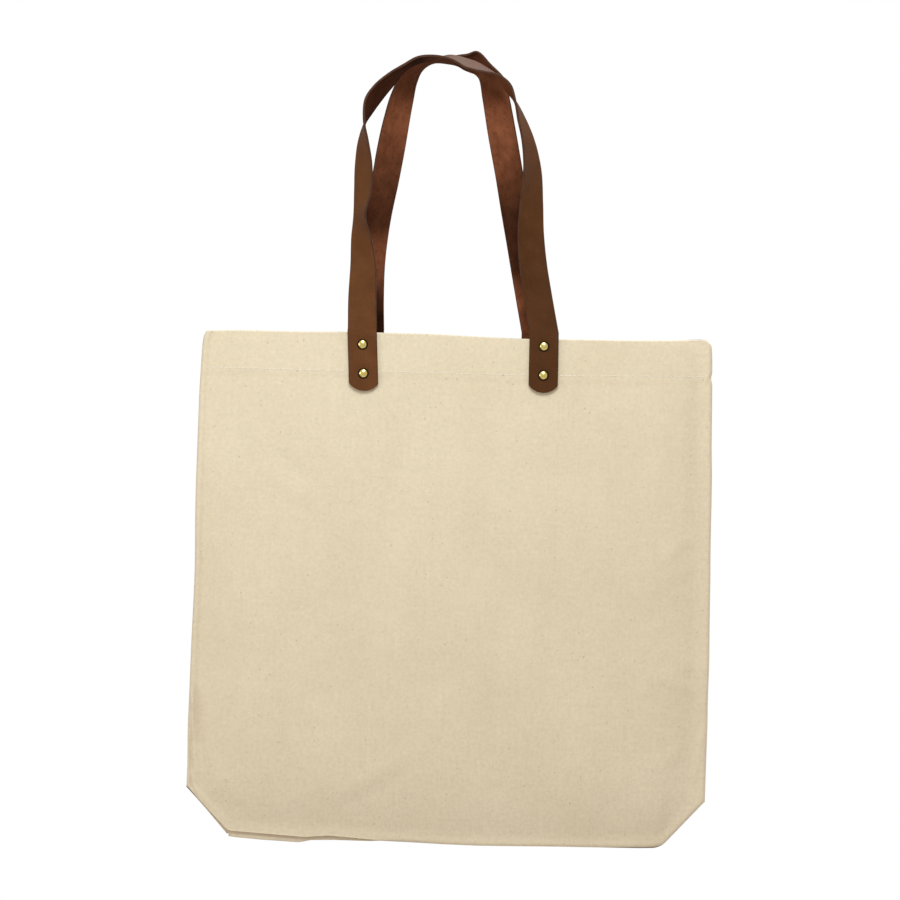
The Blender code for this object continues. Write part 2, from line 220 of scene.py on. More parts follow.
def ridge(x, z, start_x, start_z, end_x, end_z, width, height):
    """A soft crease along a line, which fades out at both ends."""
    along = np.array((end_x - start_x, end_z - start_z), float)
    length = math.hypot(*along)
    along /= length
    run = (x - start_x) * along[0] + (z - start_z) * along[1]
    off = (x - start_x) * along[1] - (z - start_z) * along[0]
    fade = smoothstep(0, 0.3 * length, run) * (1 - smoothstep(0.7 * length, length, run))
    return height * fade * np.exp(-(off / width) ** 2)


def inset(side, x, z):
    """A smooth distance in from the nearest sewn edge: the sides, the base and its cut corners."""
    left = np.maximum(x + edge(-1, z) - corner_round(-1, TOP_LINE(x) - z), 1e-4)
    right = np.maximum(edge(1, z) - x - corner_round(1, TOP_LINE(x) - z), 1e-4)
    low = BOTTOM_LINES[side](x)
    slope = BOTTOM_LINES[side](x + 0.5) - BOTTOM_LINES[side](x - 0.5)
    base = np.maximum((z - low) / np.sqrt(1 + slope * slope), 1e-4)
    return (left ** -5.0 + right ** -5.0 + base ** -5.0) ** -0.2


def peek(x, z):
    """1 where the folded allowance shows past the front panel's edge at the lower left, and 0 elsewhere."""
    return smoothstep(-335, -350, z) * (1 - smoothstep(-60, -25, x)) * smoothstep(-200, -185, x)


def by_base(z):
    """1 along the base, where the panels turn past each other as the mouth opens, and 0 above it."""
    return smoothstep(-366, -374, z)


# Soft creases: x and z of each one's start and end, its width, and its height, negative for a hollow
CREASES = {
    "front": (
        (-160, -330, -186, -352, 6, 0.8), (-150, -352, -172, -366, 5, -0.6),
        (-52, -50, -62, -176, 6, 0.45), (-38, -52, -46, -190, 5, -0.4),
        (-24, -48, -30, -205, 5.5, 0.45), (-8, -50, -12, -180, 5, -0.4),
        (10, -52, 6, -196, 6, 0.45), (28, -56, 22, -170, 5, -0.35),
        (44, -52, 40, -160, 5.5, 0.4), (-142, -86, -98, -116, 5, -0.6),
        (-150, -98, -104, -130, 6, 0.5), (-92, -352, -20, -308, 6, 0.8),
        (-80, -356, -30, -330, 5.5, -0.35), (-20, -318, 2, -258, 6, 0.6),
        (148, -170, 188, -138, 5, 0.4), (150, -180, 189, -150, 5, -0.35),
        (152, -252, 190, -262, 4.5, 0.6), (146, -330, 180, -300, 6, 0.6),
        (-70, -60, -86, -190, 14, 0.5), (38, -48, 24, -250, 16, 0.6),
        (62, -50, 84, -230, 13, -0.45), (96, -44, 150, -82, 9, 0.55),
        (188, -150, 120, -205, 11, 0.5), (190, -236, 138, -262, 8, 0.45),
        (-30, -160, -8, -330, 15, -0.5), (-120, -110, -138, -270, 16, 0.45),
        (70, -348, 150, -330, 12, 0.4), (-60, -330, -140, -356, 11, 0.45),
    ),
    "back": (
        (-60, -50, -84, -210, 14, 0.6), (56, -50, 72, -240, 15, 0.6),
        (-30, -52, -36, -196, 6, 0.45), (-12, -50, -16, -170, 5.5, -0.4),
        (8, -54, 4, -204, 6, 0.45), (30, -50, 34, -176, 5.5, 0.4),
        (-150, -170, -188, -140, 5, 0.6), (-80, -350, -18, -312, 6.5, 0.7),
        (0, -120, -14, -330, 16, -0.5), (186, -120, 118, -180, 11, 0.5),
        (-186, -250, -130, -290, 10, 0.5), (60, -345, 150, -322, 12, 0.5),
    ),
}

# Sharper creases by the sewn edges
EDGE_CREASES = {
    "front": (
        (-193.4, -266, -189, -318, 1.6, 1.9), (-190.6, -262, -184.6, -318, 2.2, -1.5),
        (-194.4, -292, -191.4, -338, 1.4, -2.2), (-190.4, -306, -186.8, -346, 2.2, 1.9),
        (-186, -300, -181, -350, 2.6, -1.1), (-194, -328, -190.2, -352, 1.3, -2.2),
        (190, -286, 184, -338, 2.4, 0.8),
    ),
    "back": (
        (191, -270, 186, -330, 2, 1.2), (-190.5, -250, -186, -320, 2.2, 1),
    ),
}


def under_tab(side, x, z):
    """1 under the handles' tabs, where the canvas lies flat, fading to 0 around them."""
    mask = 0
    for mouth_x, end_x, end_z in TABS[side].values():
        middle = mouth_x + (end_x - mouth_x) * np.clip(z / end_z, 0, 1)
        across = 1 - smoothstep(STRAP_HALF + 1.5, STRAP_HALF + 16, np.abs(x - middle))
        mask = np.maximum(mask, across * smoothstep(end_z - 26, end_z - 2, z))
    return mask


def panel_depth(side, x, z):
    """From the middle plane to the outer face of a canvas panel."""
    s = inset(side, x, z)
    swell = BAG_DEPTH * (1 - np.clip(1 - s / 90, 0, 1) ** 2.6)
    meet = 0.12 + 2.4 * peek(x, z) + 0.08 * by_base(z)
    low = smoothstep(-340, -366, z)
    stack = EDGE_STACK - 1.1 * low
    roll = meet + (stack - meet) * np.sqrt(1 - np.clip(1 - s / 2.4, 0, 1) ** 2)
    roll -= np.where(x < 0, 1.3, 0.3) * (1 - low) * smoothstep(3.0, 6.2, s)
    soft = 1.1
    mix = np.clip(0.5 + 0.5 * (swell - roll) / soft, 0, 1)
    depth = roll * (1 - mix) + swell * mix + soft * mix * (1 - mix) * 0.5
    seed = 11 if side == "front" else 29
    waves = 0.50 * soft_waves(x, z, seed, 9, (46, 92), 3.2)
    waves += 0.15 * soft_waves(x, z, seed + 1, 12, (17, 34), 2.2)
    waves += 0.03 * soft_waves(x, z, seed + 2, 14, (7, 12), 1.0)
    for crease in CREASES[side]:
        waves = waves + ridge(x, z, *crease)
    waves *= smoothstep(0.5, 22, s) * 0.8 + smoothstep(0.3, 5, s) * 0.2
    for crease in EDGE_CREASES[side]:
        waves = waves + ridge(x, z, *crease) * smoothstep(0.4, 2.4, s)
    flat = under_tab(side, x, z)
    drop = TOP_LINE(x) - z
    stiff = 1 - 0.5 * smoothstep(40, 24, drop)
    depth = depth + waves * stiff * (1 - flat)
    band = 0.32 * smoothstep(HEM_DEPTH + 3.4, HEM_DEPTH - 2.4, drop)
    pucker = 0.12 * np.exp(-((z - STITCH_LINE(x)) / 4.0) ** 2) * np.sin(2 * math.pi * x / 6.4)
    return depth + (band + pucker * (1 - flat)) * smoothstep(0.5, 4, s)


def spaced(start, end, step):
    """Even places from start up to, but not at, end, about a step apart."""
    count = max(1, round(abs(end - start) / step))
    return [start + (end - start) * i / count for i in range(count)]


def mesh_object(name, points, faces, uvs, materials, face_material=None, normals=None):
    """A mesh from bag-layout points, with one UV for each face corner."""
    mesh = bpy.data.meshes.new(name)
    mesh.from_pydata([tuple(p) for p in put(points)], [], faces)
    layer = mesh.uv_layers.new(name="flat")
    corners = np.array([uv for face in uvs for uv in face], np.float32)
    layer.data.foreach_set("uv", corners.ravel())
    for material in materials:
        mesh.materials.append(material)
    if face_material is not None:
        mesh.polygons.foreach_set("material_index", np.asarray(face_material, np.int32))
    mesh.polygons.foreach_set("use_smooth", [True] * len(mesh.polygons))
    bm = bmesh.new()
    bm.from_mesh(mesh)
    bmesh.ops.recalc_face_normals(bm, faces=bm.faces)
    bm.to_mesh(mesh)
    bm.free()
    mesh.update()
    if normals is not None:
        mesh.normals_split_custom_set_from_vertices([tuple(n) for n in normals])
    thing = bpy.data.objects.new(name, mesh)
    bpy.context.scene.collection.objects.link(thing)
    return thing


# ---- Materials ----


class Look:
    """A node material, built up one step at a time."""

    def __init__(self, name, sockets):
        self.material = bpy.data.materials.new(name)
        self.material.use_nodes = True
        self.tree = self.material.node_tree
        self.shader = self.tree.nodes["Principled BSDF"]
        for socket, value in sockets.items():
            self.shader.inputs[socket].default_value = value
        uv = self.tree.nodes.new("ShaderNodeUVMap")
        uv.uv_map = "flat"
        self.uv = uv.outputs["UV"]

    def node(self, kind, inputs=(), **settings):
        node = self.tree.nodes.new("ShaderNode" + kind)
        for key, value in settings.items():
            setattr(node, key, value)
        for key, value in dict(inputs).items():
            if isinstance(value, bpy.types.NodeSocket):
                self.tree.links.new(value, node.inputs[key])
            else:
                node.inputs[key].default_value = value
        return node

    def math(self, operation, *values):
        return self.node("Math", enumerate(values), operation=operation).outputs[0]

    def times(self, first, second):
        return self.math("MULTIPLY", first, second)

    def plus(self, first, second):
        return self.math("ADD", first, second)

    def axes(self):
        split = self.node("SeparateXYZ", {"Vector": self.uv})
        return split.outputs["X"], split.outputs["Y"]

    def stretched(self, scale):
        return self.node("Mapping", {"Vector": self.uv, "Scale": scale}).outputs["Vector"]

    def noise(self, scale, detail, vector=None, roughness=0.5):
        inputs = {"Vector": vector or self.uv, "Scale": scale, "Detail": detail, "Roughness": roughness}
        return self.node("TexNoise", inputs).outputs["Fac"]

    def fibres(self, scale, detail=3):
        """Noise drawn out along the axis with the smaller scale."""
        return self.noise(1.0, detail, self.stretched(scale))

    def ranged(self, value, low, high, new_low=0.0, new_high=1.0):
        inputs = {"Value": value, "From Min": low, "From Max": high, "To Min": new_low, "To Max": new_high}
        return self.node("MapRange", inputs).outputs["Result"]

    def mix(self, share, first, second):
        return self.node("Mix", {0: share, 6: first, 7: second}, data_type="RGBA").outputs[2]

    def brighten(self, colour, value):
        """The colour times a value that varies about 1."""
        made = self.node("VectorMath", {0: colour, "Scale": value}, operation="SCALE")
        return made.outputs["Vector"]

    def vary(self, colour, value, low, high, dark, bright):
        """The colour times dark where the value is low, up to bright where it is high."""
        return self.brighten(colour, self.ranged(value, low, high, dark, bright))

    def along_strap(self, *stops):
        """A value that changes along the strap, from (metres along, value) stops."""
        run, _ = self.axes()
        value = stops[0][1]
        for (start, first), (end, last) in zip(stops, stops[1:]):
            value = self.times(self.ranged(run, start, end, 1.0, last / first), value)
        return value

    def finish(self, colour, height, distance, strength, roughness=None):
        self.tree.links.new(colour, self.shader.inputs["Base Color"])
        inputs = {"Height": height, "Distance": distance, "Strength": strength}
        bump = self.node("Bump", inputs)
        self.tree.links.new(bump.outputs["Normal"], self.shader.inputs["Normal"])
        if roughness is not None:
            self.tree.links.new(roughness, self.shader.inputs["Roughness"])
        return self.material


def canvas_look(name, light, dark):
    """Plain-woven natural canvas: crossing threads, slubs, faint streaks, blotches and seed flecks."""
    look = Look(name, {"Sheen Weight": 0.12, "Sheen Roughness": 0.6, "Specular IOR Level": 0.15})
    across, along = look.axes()
    warp_pitch, weft_pitch, wander = 0.60 * MM, 0.68 * MM, 3.2
    drift = look.noise(88, 3)
    warp_at = look.plus(look.times(across, 1 / warp_pitch), look.times(drift, wander))
    drift = look.noise(75, 3, look.stretched((1.0, 1.3, 1.0)))
    weft_at = look.plus(look.times(along, 1 / weft_pitch), look.times(drift, wander))
    warp = look.math("SINE", look.times(warp_at, math.pi))
    weft = look.math("SINE", look.times(weft_at, math.pi))
    crossing = look.times(look.times(warp, weft), 0.5)
    warp_slub = look.fibres((980, 42, 1))
    weft_slub = look.fibres((36, 850, 1))
    warp_size = look.ranged(warp_slub, 0.25, 0.8, 0.36, 0.66)
    weft_size = look.ranged(weft_slub, 0.25, 0.8, 0.36, 0.66)
    over_warp = look.math("MULTIPLY_ADD", look.math("ABSOLUTE", warp), warp_size, crossing)
    over_weft = look.math("SUBTRACT", look.times(look.math("ABSOLUTE", weft), weft_size), crossing)
    weave = look.math("MAXIMUM", over_warp, over_weft)
    height = look.math("MULTIPLY_ADD", look.noise(2600, 2), 0.22, weave)
    colour = look.mix(look.ranged(look.noise(14, 3), 0.3, 0.7), light, dark)
    streak = look.plus(look.fibres((420, 9, 1), 2), look.fibres((7, 380, 1), 2))
    colour = look.vary(colour, streak, 0.6, 1.4, 0.988, 1.012)
    colour = look.vary(colour, warp_slub, 0.2, 0.85, 0.985, 1.015)
    colour = look.vary(colour, look.noise(115, 3, roughness=0.6), 0.3, 0.7, 0.978, 1.022)
    colour = look.vary(colour, look.noise(360, 4, roughness=0.72), 0.3, 0.7, 0.925, 1.065)
    # Darker where the weave is low, between the threads: painted shade in its hollows.
    colour = look.vary(colour, weave, 0.05, 0.9, 0.90, 1.02)
    seeds = look.node("TexVoronoi", {"Vector": look.stretched((1, 0.8, 1)), "Scale": 260.0})
    pick = look.node("SeparateColor", {"Color": seeds.outputs["Color"]}).outputs["Red"]
    size = look.ranged(pick, 0.30, 1.0, 0.0, 0.17)
    near = look.math("SUBTRACT", size, seeds.outputs["Distance"])
    fleck = look.ranged(near, 0.0, 0.06, 0.0, 0.42)
    colour = look.mix(fleck, colour, (0.21, 0.14, 0.075, 1))
    return look.finish(colour, height, 0.17 * MM, 0.7, look.ranged(weave, 0.0, 1.0, 0.98, 0.88))


def grain_look():
    """Brown full-grain leather: fine pebbled grain, cloudy colour, rubbed edges, a few scuffs, and painted
    light and shade along the strap.
    """
    look = Look("brown_leather_grain", {"Specular IOR Level": 0.04})
    cells = look.node("TexVoronoi", {"Vector": look.uv, "Scale": 1500.0})
    pebble = look.math("MULTIPLY_ADD", look.noise(900, 3), 0.7, cells.outputs["Distance"])
    creases = look.fibres((160, 520, 1))
    height = look.math("MULTIPLY_ADD", look.ranged(creases, 0.52, 0.60), -0.35, pebble)
    cloud = look.noise(60, 3)
    dark, light = (0.078, 0.0265, 0.0078, 1), (0.100, 0.0345, 0.0108, 1)
    colour = look.mix(look.ranged(cloud, 0.3, 0.7), dark, light)
    colour = look.vary(colour, cells.outputs["Distance"], 0.0, 0.8, 0.88, 1.12)
    _, across = look.axes()
    rim = look.plus(look.math("ABSOLUTE", across), look.times(look.noise(260, 2), 1.6 * MM))
    worn = look.ranged(rim, 11.2 * MM, 12.8 * MM, 0.0, 0.25)
    colour = look.mix(worn, colour, (0.15, 0.070, 0.032, 1))
    scuff = look.ranged(look.noise(120, 4, roughness=0.7), 0.62, 0.74, 0.0, 0.10)
    colour = look.mix(scuff, colour, (0.18, 0.090, 0.045, 1))
    # Painted light and shade along the strap: lighter up the left leg where the lamps fall, darker down the
    # right leg in shade.
    painted_light_and_shade = (0.0, 1.07), (0.20, 1.12), (0.31, 1.08), (0.42, 0.84), (0.47, 0.71), (0.60, 0.71)
    colour = look.brighten(colour, look.along_strap(*painted_light_and_shade))
    return look.finish(colour, height, 0.16 * MM, 0.5, look.ranged(cloud, 0.25, 0.75, 0.50, 0.64))


def flesh_look(name, *painted_light_and_shade):
    """The suede flesh side of a strap: short nap, cloudy and matt, with painted light and shade along it,
    darker where shade falls and lighter where the lamps reach.
    """
    look = Look(name, {"Roughness": 0.95, "Specular IOR Level": 0.02})
    nap = look.noise(1500, 3)
    brushed = look.noise(1.0, 4, look.stretched((75, 130, 1)), 0.65)
    dark, light = (0.088, 0.0255, 0.0098, 1), (0.146, 0.0450, 0.0190, 1)
    colour = look.mix(look.ranged(brushed, 0.3, 0.7), dark, light)
    colour = look.vary(colour, nap, 0.3, 0.7, 0.85, 1.15)
    colour = look.vary(colour, look.noise(300, 4, roughness=0.7), 0.55, 0.68, 1.0, 0.64)
    colour = look.vary(colour, look.noise(34, 3), 0.35, 0.62, 0.74, 1.10)
    # Painted light and shade along the strap, from each strap's own stops.
    colour = look.brighten(colour, look.along_strap(*painted_light_and_shade))
    return look.finish(colour, look.math("MULTIPLY_ADD", brushed, 0.4, nap), 0.20 * MM, 0.6)


def edge_look():
    """The cut, burnished edge of the straps, with the fibres' layers just showing."""
    look = Look("brown_leather_edge", {"Specular IOR Level": 0.05})
    layers = look.fibres((140, 2600, 1))
    dark, light = (0.040, 0.015, 0.0075, 1), (0.085, 0.036, 0.018, 1)
    colour = look.mix(look.ranged(layers, 0.35, 0.7), dark, light)
    return look.finish(colour, layers, 0.12 * MM, 0.5, look.ranged(layers, 0.3, 0.7, 0.45, 0.62))


def thread_look():
    """Twisted cotton thread, a little lighter than the canvas."""
    look = Look("cotton_thread", {"Roughness": 0.85, "Sheen Weight": 0.2})
    along, around = look.axes()
    turns = look.plus(look.times(along, 2 * math.pi / (0.42 * MM)), look.times(around, 2 * math.pi))
    twist = look.math("SINE", turns)
    light, dark = (0.86, 0.77, 0.61, 1), (0.80, 0.70, 0.53, 1)
    colour = look.mix(look.ranged(look.noise(300, 2), 0.3, 0.7), light, dark)
    # Darker in the twist's grooves, where the bump is low: painted shade.
    colour = look.vary(colour, twist, -1.0, 1.0, 0.84, 1.05)
    return look.finish(colour, twist, 0.07 * MM, 0.7)


def brass_look():
    """Polished brass with fine handling scratches, and a near-black ring towards the rim that is painted
    shade at the dome's edge.
    """
    look = Look("rivet_brass", {"Metallic": 1.0})
    _, outward = look.axes()
    scratches = look.fibres((2600, 500, 1))
    spots = look.noise(900, 3)
    rim = look.ranged(look.plus(outward, look.times(spots, 0.5 * MM)), 2.95 * MM, 3.45 * MM)
    light, dark = (0.84, 0.66, 0.22, 1), (0.66, 0.48, 0.13, 1)
    colour = look.mix(look.ranged(spots, 0.35, 0.7), light, dark)
    # The near-black rim ring is painted shade where the dome turns down to the leather.
    colour = look.mix(rim, colour, (0.030, 0.018, 0.008, 1))
    rough = look.plus(look.ranged(scratches, 0.3, 0.7, 0.16, 0.30), look.times(rim, 0.25))
    return look.finish(colour, scratches, 0.03 * MM, 0.3, rough)


CANVAS = canvas_look("natural_canvas", (0.675, 0.527, 0.353, 1), (0.640, 0.496, 0.325, 1))
# The allowances' canvas is the same cloth a little darker: painted shade, as they lie in the seams' shadow.
SHADED_SEAM_CANVAS = canvas_look("seam_canvas", (0.660, 0.510, 0.340, 1), (0.610, 0.468, 0.304, 1))
GRAIN = grain_look()
# Each strap's flesh has its own stops of painted light and shade: darker in the shaded arch, at the tab
# ends and beside the other strap, lighter where lit.
FLESH = {
    "front": flesh_look(
        "front_leather_flesh", (0.050, 0.45), (0.120, 1.0), (0.185, 0.80), (0.205, 0.38), (0.240, 0.40),
        (0.268, 0.22), (0.285, 1.05), (0.305, 1.25), (0.360, 0.95), (0.470, 1.0), (0.540, 0.6)),
    "back": flesh_look(
        "back_leather_flesh", (0.056, 0.15), (0.080, 0.78), (0.100, 1.30), (0.124, 0.52), (0.172, 0.76),
        (0.196, 1.55), (0.235, 0.84), (0.290, 0.66), (0.345, 1.60), (0.368, 1.40), (0.388, 0.84),
        (0.411, 0.38), (0.457, 0.38), (0.480, 1.60), (0.500, 1.50), (0.520, 0.66), (0.535, 0.36)),
}
LEATHER_EDGE = edge_look()
THREAD = thread_look()
BRASS = brass_look()


# ---- Canvas panels ----


def panel_columns():
    """Where the panel's columns lie before it is fitted to its outline, closer at the sewn edges."""
    near = [0.0, 0.3, 0.7, 1.2, 1.8, 2.5, 3.4, 4.5, 5.8, 7.4, 9.4, 12.0]
    start = -STRETCH_WIDTH
    left = [start + d for d in near]
    cuts = (left[-1] + GRID_STEP, BLEND_SPLIT["left"], BLEND_SPLIT["right"], -left[-1])
    middle = [place for a, b in zip(cuts, cuts[1:]) for place in spaced(a, b, GRID_STEP)]
    return np.array(left + middle + [-value for value in reversed(left)])


def panel_rows():
    """How far down from the mouth the panel's rows lie, closer at the rim, the stitches and the base."""
    top = [0.0, 0.12, 0.35, 0.65, 0.95, 1.4, 2.2, 3.4]
    base = [14.0, 11.5, 9.2, 7.2, 5.6, 4.4, 3.4, 2.5, 1.8, 1.2, 0.7, 0.3, 0.0]
    rows = top + spaced(5.2, 23.0, 2.4) + spaced(23.0, 36.0, 0.65)
    rows += spaced(36.0, BODY_HEIGHT - base[0], GRID_STEP)
    return np.array(rows + [BODY_HEIGHT - d for d in base])


def panel_grid(side):
    """x and z for each place on a panel: columns fitted between the edges, rows from mouth to base."""
    columns, rows = np.meshgrid(panel_columns(), panel_rows(), indexing="ij")
    fixed = 60.0  # down to here the rows follow the mouth's line
    share = np.clip((rows - fixed) / (BODY_HEIGHT - fixed), 0, 1)
    x = columns
    for _ in range(3):
        top = TOP_LINE(x)
        low = BOTTOM_LINES[side](x)
        z = np.where(rows < fixed, top - rows, top - fixed - share * (top - fixed - low))
        x = np.where(columns < 0, columns * edge(-1, z), columns * edge(1, z)) / STRETCH_WIDTH
    rounded = 150  # from here out the columns are drawn in for the mouth's corners
    pull = np.clip((np.abs(columns) - rounded) / (STRETCH_WIDTH - rounded), 0, 1) ** 2
    drop = top - z
    x -= np.sign(columns) * pull * np.where(columns < 0, corner_round(-1, drop), corner_round(1, drop))
    return x, z


def rim_round(drop):
    """How far each skin turns in at the mouth's folded rim."""
    radius = HEM_THICKNESS / 2
    left = np.clip(radius - drop, 0, radius)
    return radius - np.sqrt(radius * radius - left * left)


def grid_normals(points, outward):
    """Smooth normals of a grid of points, facing the way that outward says."""
    du = np.gradient(points, axis=0)
    dv = np.gradient(points, axis=1)
    normal = np.cross(du, dv)
    normal /= np.linalg.norm(normal, axis=2, keepdims=True) + 1e-12
    flip = np.sign((normal * outward).sum(axis=2, keepdims=True))
    flip[flip == 0] = 1
    return normal * flip


def build_panel(side):
    """A canvas panel with its hem turned in, cut into three pieces."""
    sign = SIDES[side]
    x, z = panel_grid(side)
    s = inset(side, x, z)
    drop = TOP_LINE(x) - z
    outer = panel_depth(side, x, z)
    hem = (HEM_THICKNESS - CLOTH) * smoothstep(HEM_DEPTH + 0.3, HEM_DEPTH - 0.9, drop)
    thick = CLOTH + hem * smoothstep(1.5, 9, s)
    rolled = peek(x, z) * (1 - smoothstep(2.0, 6.0, s))
    thick = np.minimum(thick + rolled, 0.25 - 0.16 * by_base(z) + 0.75 * s + 1.7 * rolled)
    inner = outer - thick
    turn = rim_round(np.clip(drop, 0, None)) * np.clip(thick / HEM_THICKNESS, 0.2, 1)
    skins = [np.stack([x, sign * depth, z], axis=2) for depth in (outer - turn, inner + turn)]
    normals = []
    for skin, facing in zip(skins, (sign, -sign)):
        normal = grid_normals(skin, np.array([0.0, facing, 0.0]))
        lift = np.clip(1 - drop / (HEM_THICKNESS / 2), 0, 1)[:, :, None]
        normal = normal * (1 - lift) + np.array([0.0, 0.0, 1.0]) * lift + normal * 0.35 * lift
        normals.append(normal / np.linalg.norm(normal, axis=2, keepdims=True))
    columns = panel_columns()
    cuts = [0] + [int(np.argmin(np.abs(columns - place))) for place in BLEND_SPLIT.values()]
    cuts.append(len(columns) - 1)
    return {part: panel_piece(side, part, skins, normals, start, end)
            for part, start, end in zip(PARTS, cuts, cuts[1:])}


def panel_piece(side, part, skins, normals, start, end):
    """The closed shell between two of a panel's columns: outer skin, inner skin and the cut edges."""
    count = end - start + 1
    depth = skins[0].shape[1]
    apart = 500  # between the two skins' places in the weave
    points = np.concatenate([skin[start:end + 1].reshape(-1, 3) for skin in skins])
    shading = np.concatenate([normal[start:end + 1].reshape(-1, 3) for normal in normals])
    faces, uvs = [], []

    def add(*corners):
        faces.append([skin * count * depth + i * depth + j for skin, i, j in corners])
        uvs.append([(skins[skin][start + i, j, 0] * MM, (skins[skin][start + i, j, 2] + apart * skin) * MM)
                    for skin, i, j in corners])

    for i in range(count - 1):
        for skin in (0, 1):
            for j in range(depth - 1):
                add((skin, i, j), (skin, i + 1, j), (skin, i + 1, j + 1), (skin, i, j + 1))
        for j in (0, depth - 1):
            add((0, i, j), (1, i, j), (1, i + 1, j), (0, i + 1, j))
    for j in range(depth - 1):
        for i in (0, count - 1):
            add((0, i, j), (1, i, j), (1, i, j + 1), (0, i, j + 1))
    return mesh_object(f"{side}_canvas_{part}", points, faces, uvs, [CANVAS], normals=shading)


# ---- Seam allowances and stitches ----


def ring_face(base, size, k, i):
    """The face from point i to the next, between rings k and k + 1 of size points each."""
    j = (i + 1) % size
    return [base + k * size + i, base + k * size + j, base + (k + 1) * size + j, base + (k + 1) * size + i]


def seam_path(knots, step):
    """Even points along a line of (x, z) knots."""
    points = []
    for a, b in zip(knots, knots[1:]):
        length = math.dist(a, b)
        count = max(1, round(length / step))
        points += [tuple(p + (q - p) * i / count for p, q in zip(a, b)) for i in range(count)]
    return np.array(points + [knots[-1]])


def build_allowance(name, knots, inward, width, seed):
    """A folded seam allowance: two plies that meet in a fold along the seam, with uneven raw edges."""
    path = seam_path(knots, 3.0)
    inward = np.array(inward, float) / math.hypot(*inward)
    rng = np.random.default_rng(seed)
    fray = np.convolve(rng.normal(0, 0.45, len(path) + 6), np.ones(4) / 4, mode="same")[3:-3]
    points = []
    for k, (x, z) in enumerate(path):
        reach = width + fray[k]
        outer = [(0.10, 0.3), (0.4, 0.48), (1.1, 0.55), (3.5, 0.6), (reach * 0.6, 1.1), (reach - 0.35, 1.3),
                 (reach, 1.1), (reach + 0.05, 0.8), (reach - 0.3, 0.5), (reach * 0.6, 0.35), (3.0, 0.12)]
        ring = [(0.0, 0.0)] + outer + [(n, -y) for n, y in reversed(outer)]
        points += [(x + inward[0] * n, y, z + inward[1] * n) for n, y in ring]
    size = len(points) // len(path)
    spread = 1.5
    faces, uvs = [], []
    run = np.concatenate([[0], np.cumsum([math.dist(a, b) for a, b in zip(path, path[1:])])])
    for k in range(len(path) - 1):
        low, high = run[k] * MM, run[k + 1] * MM
        for i in range(size):
            faces.append(ring_face(0, size, k, i))
            u, w = i * spread * MM, (i + 1) * spread * MM
            uvs.append([(u, low), (w, low), (w, high), (u, high)])
    for k in (0, len(path) - 1):
        for i in range(1, size // 2):
            a, b = i, size - i
            near, far = (i - 1) or 0, (size - i + 1) % size
            chain = (near, a, b, far) if i > 1 else (near, a, b)
            faces.append([k * size + n for n in chain])
            uvs.append([(0.0, 0.0)] * len(faces[-1]))
    return mesh_object(name, points, faces, uvs, [SHADED_SEAM_CANVAS])


def build_seams():
    """The allowances along the sides, the base and the cut corners, inside the edges or just past them."""
    heights = np.linspace(-3.0, -341.0, 12)
    left_edge = [(-edge(-1, z) + corner_round(-1, 1.0 - z) + 1.5, z) for z in heights]
    right_edge = [(edge(1, z) - corner_round(1, 3.0 - z) - 1.5, z) for z in heights]
    base = [(-163, -378.4), (-158, -379.1), (-138, -380.5), (-110, -381.8), (-101, -379.9), (-84, -379.4),
            (-57, -379.6), (-40, -378.6), (0, -378.6), (25, -379.2), (155, -377.9)]
    left_corner = [(-193.7, -342.6), (-188, -349.6), (-176, -363.2), (-164, -376.8)]
    right_corner = [(189.2, -347), (164.6, -373.7)]
    side_width, corner_width = 11.5, 10.0
    seams = {
        "left_side": (left_edge, (1, 0), side_width),
        "right_side": (right_edge, (-1, 0), side_width),
        "bottom": (base, (0, 1), side_width),
        "left_corner": (left_corner, (0.74, 0.68), corner_width),
        "right_corner": (right_corner, (-0.74, 0.68), corner_width),
    }
    for seed, (name, (knots, inward, width)) in enumerate(seams.items()):
        piece = build_allowance(f"{name}_allowance", knots, inward, width, 40 + seed)
        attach(piece, "bag_base")
        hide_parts(f"{name}_seam")


def tube(points, radius, sides):
    """Rings of points about a line, for a short length of thread. Its ends are drawn in."""
    points = np.array(points, float)
    rings = []
    for k, point in enumerate(points):
        forward = points[min(k + 1, len(points) - 1)] - points[max(k - 1, 0)]
        forward /= np.linalg.norm(forward)
        across = np.cross(forward, (0.0, 0.0, 1.0))
        across /= np.linalg.norm(across)
        up = np.cross(across, forward)
        size = radius * (0.45 if k in (0, len(points) - 1) else 1.0)
        for i in range(sides):
            angle = 2 * math.pi * i / sides
            rings.append(point + size * (math.cos(angle) * across + math.sin(angle) * up))
    return rings


